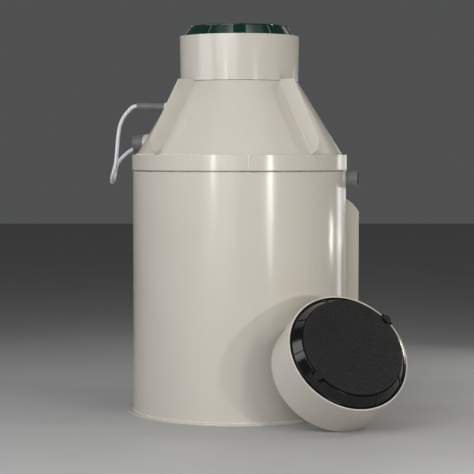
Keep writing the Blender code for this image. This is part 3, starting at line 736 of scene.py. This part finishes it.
def make_fin(material, weld):
    foot = BASE_THICKNESS + GAP
    arc = arc_through(*FIN_ARC, steps=16)
    outline = [(FIN_ARC[0][0], foot), *arc, (FIN_OUTER, foot)]
    outline = rounded(outline, (*(0.0,) * (len(arc) + 1), 0.004))
    place = upright(FIN_AZIMUTH)
    half = FIN_THICKNESS / 2
    mesh = plate(outline, -half, half, PLATE_EDGE, PLATE_EDGE, place)
    add_piece("fin_plate", mesh, material, ["side_fin"])
    levels = (foot + 0.002, FIN_ARC[0][1] - 0.004)
    beads = []
    for side in (-1, 1):
        ends = [place @ Vector((BODY_RADIUS, z, side * half)) for z in levels]
        outward = place.to_3x3() @ Vector((1.0, 0.0, side))
        beads.append(line_bead(ends, outward, FIN_BEAD, 60 + side))
    add_piece("fin_welds", joined(beads), weld)


def make_ring_welds(weld, shade_painted_weld):
    """Beads under the band, at the roof's foot and on the floor plate, the band's upright seam, and
    tack spots on the floor plate."""
    # The bead under the band is near black: painted shade for the shadow under the band's lower edge
    dark = ring_bead(BODY_RADIUS + 0.0006, BAND_BOTTOM - 0.0034, -12.0, BAND_BEAD, 70)
    add_piece("band_weld", dark, shade_painted_weld)
    # The pale rod here is partly a painted highlight, the light line along the roof's foot
    rings = [
        ring_bead(ROOF_FOOT_RADIUS + 0.0008, ROOF_FOOT + 0.0004, 45.0, ROOF_BEAD, 72),
        ring_bead(BODY_RADIUS + 0.0004, BASE_THICKNESS + 0.0010, 45.0, BASE_BEAD, 76),
    ]
    seam = direction(SEAM_AZIMUTH)
    levels = (BAND_BOTTOM + 0.002, BAND_TOP - 0.003)
    ends = [seam * (BAND_OUTER - 0.0006) + AXIS_Z * z for z in levels]
    rings.append(line_bead(ends, seam, SEAM_BEAD, 80))
    source = np.random.default_rng(5)
    for i in range(TACKS):
        azimuth = -55.0 + i * 2.3 + source.uniform(-0.6, 0.6)
        out, level = direction(azimuth), direction(azimuth + 90.0)
        middle = out * (0.700 + source.uniform(-0.003, 0.006)) + AXIS_Z * (BASE_THICKNESS + 0.0002)
        reach = source.uniform(0.005, 0.011)
        ends = (middle - level * reach, middle + level * reach)
        rings.append(line_bead(ends, AXIS_Z, (source.uniform(0.0035, 0.0055), 0.0024), 90 + i))
    add_piece("ring_welds", joined(rings), weld)


# Pipes


def pipe_frame(name, distance):
    """A frame whose +Z runs outwards along a pipe, with its origin at this distance from the axis."""
    azimuth, height, rise, _, end = PIPES[name][:5]
    out = (direction(azimuth) + AXIS_Z * rise).normalized()
    place = direction(azimuth) * distance + AXIS_Z * (height - rise * (end - distance))
    return Matrix.Translation(place) @ out.to_track_quat("Z", "Y").to_matrix().to_4x4()


def pipe_core(name, centre=0.60, radius=None, half=0.30):
    """A closed cylinder along a pipe, to cut with."""
    radius = PIPES[name][5] + GAP if radius is None else radius
    outline = [(0.0, half), (radius, half), (radius, -half), (0.0, -half)]
    return lathe(outline, 64, pipe_frame(name, centre))


def surface_point(name, round_angle, radius):
    """Where a line along a pipe, at this radius and angle round it, meets the wall or roof, and the
    normal there."""
    start = pipe_frame(name, 0.0)
    low, high = 0.3, 0.9
    arm = Vector((radius * math.cos(round_angle), radius * math.sin(round_angle), 0.0))
    for _ in range(40):
        middle = (low + high) / 2
        point = start @ (arm + AXIS_Z * middle)
        limit = BODY_RADIUS if name == "outlet" else roof_radius(point.z)
        if math.hypot(point.x, point.y) < limit:
            low = middle
        else:
            high = middle
    level = Vector((point.x, point.y, 0.0)).normalized()
    lean = 0.0 if name == "outlet" else (ROOF_FOOT_RADIUS - ROOF_TOP_RADIUS) / (ROOF_TOP - ROOF_FOOT)
    return point, (level + AXIS_Z * lean).normalized()


def make_pipes(shell, grey, weld):
    beads = []
    for number, (name, pipe) in enumerate(PIPES.items()):
        inner_end, end, radius, wall, collar_radius, collar_out = pipe[3:]
        length = end - inner_end
        corners = [(radius - wall, 0.0), (radius, 0.0), (radius, -length), (radius - wall, -length)]
        outline = rounded(corners, (0.0008, 0.0012, 0.0008, 0.0008), 3)
        mesh = lathe(outline, 96, pipe_frame(name, end))
        if name == "inlet":
            roughen(mesh, pipe_frame(name, end), np.random.default_rng(number), 0.0011)
        add_piece(f"{name}_stub", mesh, grey, [f"{name}_pipe"])

        middle, _ = surface_point(name, 0.0, 0.0)
        surface = math.hypot(middle.x, middle.y)
        inside = 0.008 if name == "outlet" else 0.010 + 0.62 * collar_radius
        bore = radius + GAP
        corners = [(bore, collar_out), (bore + 0.0014, collar_out), (collar_radius, 0.35 * collar_out),
                   (collar_radius, -inside), (bore, -inside)]
        outline = rounded(corners, (0.0004, 0.0008, 0.0030, 0.0, 0.0), 4)
        mesh = lathe(outline, 96, pipe_frame(name, surface))
        add_piece(f"{name}_sleeve", mesh, shell, [f"{name}_collar"])

        count = round(TURN * collar_radius / 0.0021)
        path, outward = [], []
        turn = pipe_frame(name, 0.0).to_3x3()
        for i in range(count):
            angle = TURN * i / count
            point, normal = surface_point(name, angle, collar_radius)
            arm = turn @ Vector((math.cos(angle), math.sin(angle), 0.0))
            path.append(tuple(point))
            outward.append(tuple((arm + normal).normalized()))
        section = INLET_BEAD if name == "inlet" else PIPE_BEAD
        beads.append(bead(path, outward, section, 100 + number, closed=True))
    add_piece("pipe_welds", joined(beads), weld)

    radius, wall = PIPES["air"][5:7]
    corners = [(HOSE_DIAMETER / 2 + GAP, GLAND_PROUD), (radius - wall - GAP, GLAND_PROUD),
               (radius - wall - GAP, -GLAND_LENGTH), (HOSE_DIAMETER / 2 + GAP, -GLAND_LENGTH)]
    outline = rounded(corners, (0.0010, 0.0018, 0.0008, 0.0008), 3)
    mesh = lathe(outline, 64, pipe_frame("air", PIPES["air"][4]))
    add_piece("hose_gland", mesh, grey, ["air_gland"])


def roughen(mesh, place, source, size):
    """Leaves a sawn pipe end slightly uneven."""
    back = place.inverted()
    phases = source.uniform(0, TURN, 6)
    for vertex in mesh.vertices:
        local = back @ vertex.co
        if local.z > -0.004:
            angle = math.atan2(local.y, local.x)
            drop = sum(math.sin((k * 5 + 3) * angle + phases[k]) for k in range(6)) / 6
            local.z -= size * (0.6 + drop)
            vertex.co = place @ local


# Hatches and extension ring


def rim_matrix(centre, outwards, lock_line):
    """Frame of a rim: +Z leaves it, and +X points at the hatch's first lock."""
    z = Vector(outwards).normalized()
    x = (Vector(lock_line) - z * Vector(lock_line).dot(z)).normalized()
    return Matrix.Translation(Vector(centre)) @ Matrix((x, z.cross(x), z)).transposed().to_4x4()


def extension_matrix():
    elevation, lock_angle = math.radians(EXTENSION_ELEVATION), math.radians(EXTENSION_LOCK_ANGLE)
    out = direction(EXTENSION_AZIMUTH) * math.cos(elevation) + AXIS_Z * math.sin(elevation)
    level = direction(EXTENSION_AZIMUTH + 90.0)
    lock_line = level * math.cos(lock_angle) + out.cross(level) * math.sin(lock_angle)
    height = GAP + EXTENSION_LENGTH * out.z + EXTENSION_RADIUS * math.cos(elevation)
    return rim_matrix((EXTENSION_RIM_X, EXTENSION_RIM_Y, height), out, lock_line)


def radial(angle):
    """Frame of an upright plate on a radial line of a hatch: X outwards, Y up, Z across it."""
    a = math.radians(angle)
    x = Vector((math.cos(a), math.sin(a), 0.0))
    return Matrix((x, AXIS_Z, x.cross(AXIS_Z))).transposed().to_4x4()


def cover_outline(radius):
    """Plan of a cover: a circle with a round bite at each lock, its corners softened."""
    bite = LOCK_RADIUS + LOCK_NOTCH
    bite_steps, rim_steps, softening = 12, 80, 0.0045
    points = []
    for turn in (0.0, math.pi):
        reach = (radius**2 + LOCK_CENTRE**2 - bite**2) / (2 * LOCK_CENTRE)
        half = math.acos(reach / radius)
        swing = math.acos((LOCK_CENTRE - reach) / bite)
        cosine, sine = math.cos(turn), math.sin(turn)
        for i in range(bite_steps + 1):
            a = math.pi + swing - 2 * swing * i / bite_steps
            x, y = LOCK_CENTRE + bite * math.cos(a), bite * math.sin(a)
            points.append((x * cosine - y * sine, x * sine + y * cosine))
        for i in range(1, rim_steps):
            a = turn + half + (math.pi - 2 * half) * i / rim_steps
            points.append((radius * math.cos(a), radius * math.sin(a)))
    softened = []
    for i, p in enumerate(points):
        before = np.array(p) - np.array(points[i - 1])
        after = np.array(points[(i + 1) % len(points)]) - np.array(p)
        bend = np.cross((*before, 0), (*after, 0))[2] / (np.linalg.norm(before) * np.linalg.norm(after))
        softened.append(softening if bend > 0.5 else 0.0)
    return rounded(points, softened, 4, hold=0.0)


def studs(top, radius, place):
    """Low lozenges on a cover against slipping, turned to and fro like a chequer plate."""
    shape = bmesh.new()
    count = int(radius / STUD_PITCH) + 1
    for i in range(-count, count + 1):
        for j in range(-count, count + 1):
            x, y = i * STUD_PITCH, j * STUD_PITCH
            if math.hypot(x, y) > radius - STUD_RIM_MARGIN:
                continue
            if math.hypot(abs(x) - LOCK_CENTRE, y) < STUD_LOCK_MARGIN:
                continue
            swing = math.pi / 4 if (i + j) % 2 else -math.pi / 4
            rings = []
            for scale, rise in ((1.0, -0.0003), (0.86, 0.62 * STUD_HEIGHT), (0.52, STUD_HEIGHT)):
                ring = []
                for k in range(8):
                    a = TURN * k / 8
                    u = STUD_HALF_LENGTH * scale * math.copysign(abs(math.cos(a)) ** 1.35, math.cos(a))
                    v = STUD_HALF_WIDTH * scale * math.copysign(abs(math.sin(a)) ** 1.15, math.sin(a))
                    along = x + u * math.cos(swing) - v * math.sin(swing)
                    across = y + u * math.sin(swing) + v * math.cos(swing)
                    ring.append(shape.verts.new((along, across, top + rise)))
                rings.append(ring)
            for low, high in zip(rings, rings[1:]):
                for k in range(8):
                    n = (k + 1) % 8
                    shape.faces.new((low[k], low[n], high[n], high[k]))
            shape.faces.new(rings[-1])
            shape.faces.new(list(reversed(rings[0])))
    bmesh.ops.transform(shape, matrix=place, verts=shape.verts)
    return mesh_from(shape)


def lock_mesh(place, top):
    """A round lock boss with a groove and a six-sided key socket."""
    foot = CREST + GAP
    socket, depth, groove = 0.0090, 0.0034, 0.0015
    profile = [(0.0, top - depth, 1), (socket - 0.0006, top - depth, 1),
               (socket, top - 0.0006, 1), (socket + 0.0006, top, 1), (0.0160, top, 0),
               (0.0168, top - 0.0003, 0), (0.0172, top - groove, 0),
               (0.0202, top - groove, 0), (0.0206, top - 0.0003, 0), (0.0214, top, 0)]
    edge = rounded([(0.0214, top), (LOCK_RADIUS, top), (LOCK_RADIUS, foot), (0.0, foot)],
                   (0.0, 0.002, 0.0006, 0.0), 4, closed=False)
    profile += [(r, z, 0) for r, z in edge[1:]]
    steps = 72
    rows = []
    for i in range(steps):
        a = TURN * i / steps
        six = math.cos(math.pi / 6) / math.cos((a % (math.pi / 3)) - math.pi / 6)
        widths = [r * (six if hexed else 1.0) for r, _, hexed in profile]
        rows.append([(w * math.cos(a), w * math.sin(a), p[1]) for w, p in zip(widths, profile)])
    shape = bmesh.new()
    stitch(shape, rows, closed_rows=False)
    bmesh.ops.transform(shape, matrix=place, verts=shape.verts)
    drop_flat(shape)
    return mesh_from(shape)


def make_hatch(node_prefix, prefix, rim, cover_top, frame_look, cover_look):
    """Frame with lugs, its ribs, cover with studs, and two locks. frame_look holds the finishes of
    frame and ribs and a slot name that is not used, cover_look the finish of cover and locks and a
    slot name that is not used."""
    frame_finish, rib_painted_highlight_finish, frame_slot = frame_look
    cover_finish, cover_slot = cover_look
    recess = COVER_RADIUS + COVER_CLEARANCE
    corners = [
        (recess, CREST), (CREST_RADIUS, CREST), (SLOPE_FOOT_RADIUS, SLOPE_FOOT), (SEAT_RADIUS, 0.0),
        (SKIRT_RADIUS, -SKIRT_DEPTH), (SKIRT_INNER, -SKIRT_DEPTH), (SKIRT_INNER, THROAT),
        (THROAT_FOOT_RADIUS, THROAT), (THROAT_TOP_RADIUS, LEDGE_BOTTOM), (LEDGE_INNER, LEDGE_BOTTOM),
        (LEDGE_INNER, COVER_SEAT), (recess, COVER_SEAT),
    ]
    radii = (0.0012, 0.0024, 0.0020, 0.0006, 0.0012, 0.0012, 0.002, 0.002, 0.003, 0.0012, 0.0012, 0.0006)
    meshes = [lathe(rounded(corners, radii), 216, rim)]
    rib = [(CREST_RADIUS - 0.003, CREST - 0.006), (SLOPE_FOOT_RADIUS - 0.003, -0.003),
           (SLOPE_FOOT_RADIUS + RIB_HEIGHT, 0.0), (SLOPE_FOOT_RADIUS + RIB_HEIGHT, SLOPE_FOOT + 0.002),
           (CREST_RADIUS + RIB_HEIGHT, CREST + 0.001), (CREST_RADIUS - 0.001, CREST + 0.001)]
    rib = rounded(rib, (0.0, 0.0, 0.0, 0.002, 0.004, 0.001), 3)
    half = RIB_THICKNESS / 2
    ribs = [plate(rib, -half, half, 0.0010, 0.0010, rim @ radial(angle), 2, 0.0004)
            for angle in RIB_ANGLES]
    # The ribs take a paler finish than the frame: a painted highlight along their edges
    add_piece(f"{prefix}_ribs", joined(ribs), rib_painted_highlight_finish)
    lug = [(CREST_RADIUS - 0.0035, CREST - 0.008), (SLOPE_FOOT_RADIUS - 0.004, -0.004),
           (LUG_FOOT_RADIUS, -0.004), (LUG_FOOT_RADIUS, 0.0), (LUG_TOP_RADIUS, CREST),
           (CREST_RADIUS - 0.0035, CREST)]
    lug = rounded(lug, (0.0, 0.0, 0.0, 0.0015, 0.005, 0.0), 4)
    half = LUG_WIDTH / 2
    for angle in (0.0, 180.0):
        meshes.append(plate(lug, -half, half, 0.0030, 0.0030, rim @ radial(angle), 4))
    add_piece(f"{prefix}_frame", joined(meshes), frame_finish,
              [f"{node_prefix}_frame"])

    top = cover_top - STUD_HEIGHT
    outline = cover_outline(COVER_RADIUS)
    disc = plate(outline, COVER_SEAT + GAP, top, 0.0010, 0.0034, rim, 5, 0.0008)
    cover = joined([disc, studs(top, COVER_RADIUS, rim)])
    add_piece(f"{prefix}_lid", cover, cover_finish, [f"{node_prefix}_cover"])

    out = Matrix.Translation((LOCK_CENTRE, 0, 0))
    for number, angle in enumerate((0.0, 180.0), start=1):
        place = rim @ Matrix.Rotation(math.radians(angle), 4, "Z") @ out
        mesh = lock_mesh(place, cover_top - LOCK_SUNK)
        add_piece(f"{prefix}_boss_{number}", mesh, cover_finish,
                  [f"{node_prefix}_lock_{number}"])


def make_extension_ring(material, rim):
    inner = EXTENSION_RADIUS - WALL
    corners = [(inner, 0.0), (EXTENSION_RADIUS, 0.0), (EXTENSION_RADIUS, -EXTENSION_LENGTH),
               (inner, -EXTENSION_LENGTH)]
    outline = rounded(corners, (0.0014, 0.0022, 0.0022, 0.0014))
    high, low = (EXTENSION_RADIUS, -ROW_MARGIN), (EXTENSION_RADIUS, ROW_MARGIN - EXTENSION_LENGTH)
    add_rows(outline, (inner + 0.005, -ROW_MARGIN), high, low, 10)
    wave = sheet_wave(31, 0.0008, 0.1)
    mesh = lathe(outline, 240, rim,
                 wave=lambda a, r, z: (wave(a, r, z) - 0.0007) * (r > inner + 0.006))
    add_piece("spare_ring", mesh, material, ["extension_ring"])


# Studio


def soft_light(name, azimuth, height, distance, width, tall, power, colour=WHITE):
    """A rectangular soft light round the tank, facing its axis."""
    data = bpy.data.lights.new(name, "AREA")
    data.shape = "RECTANGLE"
    data.size, data.size_y = width, tall
    data.energy = power
    data.color = colour
    light = add_object(name, data)
    place = direction(azimuth) * distance + AXIS_Z * height
    light.location = place
    light.rotation_euler = (AXIS_Z * LIGHT_AIM - place).to_track_quat("-Z", "Y").to_euler()
    light.visible_camera = False
    light.visible_glossy = name != UNMIRRORED_LIGHT


def make_studio():
    side = FLOOR_HALF_SIDE
    mesh = bpy.data.meshes.new("floor")
    corners = [(-side, -side, 0.0), (side, -side, 0.0), (side, side, 0.0), (-side, side, 0.0)]
    mesh.from_pydata(corners, [], [(0, 1, 2, 3)])
    mesh.materials.append(floor_finish())
    add_object("floor", mesh)

    for name, values in LIGHTS.items():
        soft_light(name, *values)

    world = bpy.data.worlds.new("studio")
    world.use_nodes = True
    background = world.node_tree.nodes["Background"]
    background.inputs["Color"].default_value = WORLD_COLOUR
    background.inputs["Strength"].default_value = WORLD_STRENGTH
    bpy.context.scene.world = world
    bpy.context.scene.view_settings.view_transform = "Standard"
    bpy.context.scene.view_settings.look = "None"


make_camera()
make_hose(hose_finish())

shell = shell_finish("beige_sheet", (0.575, 0.545, 0.490), (0.545, 0.515, 0.460), (0.47, 0.44, 0.39))
# Weld rod paler than the sheet: partly the rod's own tone, partly a painted highlight along the roof's
# foot
weld = weld_finish("weld_rod", (0.68, 0.655, 0.61), (0.56, 0.53, 0.48))
plate_weld = weld_finish("plate_weld_rod", (0.565, 0.535, 0.48), (0.52, 0.49, 0.435))
# Near-black rod for the bead under the band: painted shade, the shadow below the band
shade_painted_weld = weld_finish("band_weld_painted_shade", (0.30, 0.27, 0.23), (0.17, 0.15, 0.12))
grey = pipe_finish()
green_frame = moulded_finish(
    "green_moulding", ((0.0030, 0.020, 0.013), (0.0045, 0.027, 0.018), (0.04, 0.06, 0.05)),
    (0.10, 0.18), 0.05, 0.0001)
black_frame = moulded_finish(
    "black_moulding", ((0.0020, 0.0020, 0.0022), (0.0035, 0.0035, 0.004), (0.04, 0.04, 0.04)),
    (0.10, 0.18), 0.05, 0.0001)
# Rib finishes: much paler than their frames, a painted highlight along the rib edges, with scuffs and
# dust
green_rib_painted_highlight = moulded_finish(
    "green_scuffs_and_painted_highlight", ((0.060, 0.110, 0.085), (0.090, 0.140, 0.115), (0.20, 0.24, 0.22)),
    (0.10, 0.20), 0.30, 0.0001)
black_rib_painted_highlight = moulded_finish(
    "black_scuffs_and_painted_highlight", ((0.010, 0.010, 0.011), (0.020, 0.020, 0.021), (0.10, 0.10, 0.10)),
    (0.10, 0.18), 0.20, 0.0001)
black_cover = moulded_finish(
    "black_anti_slip", ((0.0075, 0.0075, 0.008), (0.011, 0.011, 0.0115), (0.040, 0.039, 0.037)),
    (0.46, 0.60), 0.25, 0.0003, COVER_SPECULAR)

make_wall(shell)
make_roof(shell)
make_band(shell)
make_neck(shell)
make_base(shell)
make_gussets(shell, plate_weld)
make_fin(shell, plate_weld)
make_ring_welds(weld, shade_painted_weld)
make_pipes(shell, grey, weld)

neck_rim = rim_matrix((0.0, 0.0, NECK_RIM), (0.0, 0.0, 1.0), (0.0, -1.0, 0.0))
make_hatch("neck_hatch", "green_hatch", neck_rim, NECK_COVER_TOP,
           (green_frame, green_rib_painted_highlight, "green_hatch"), (green_frame, "green_hatch"))
extension_rim = extension_matrix()
make_extension_ring(shell, extension_rim)
make_hatch("extension_hatch", "black_hatch", extension_rim, EXTENSION_COVER_TOP,
           (black_frame, black_rib_painted_highlight, "black_frame"), (black_cover, "black_cover"))

make_studio()
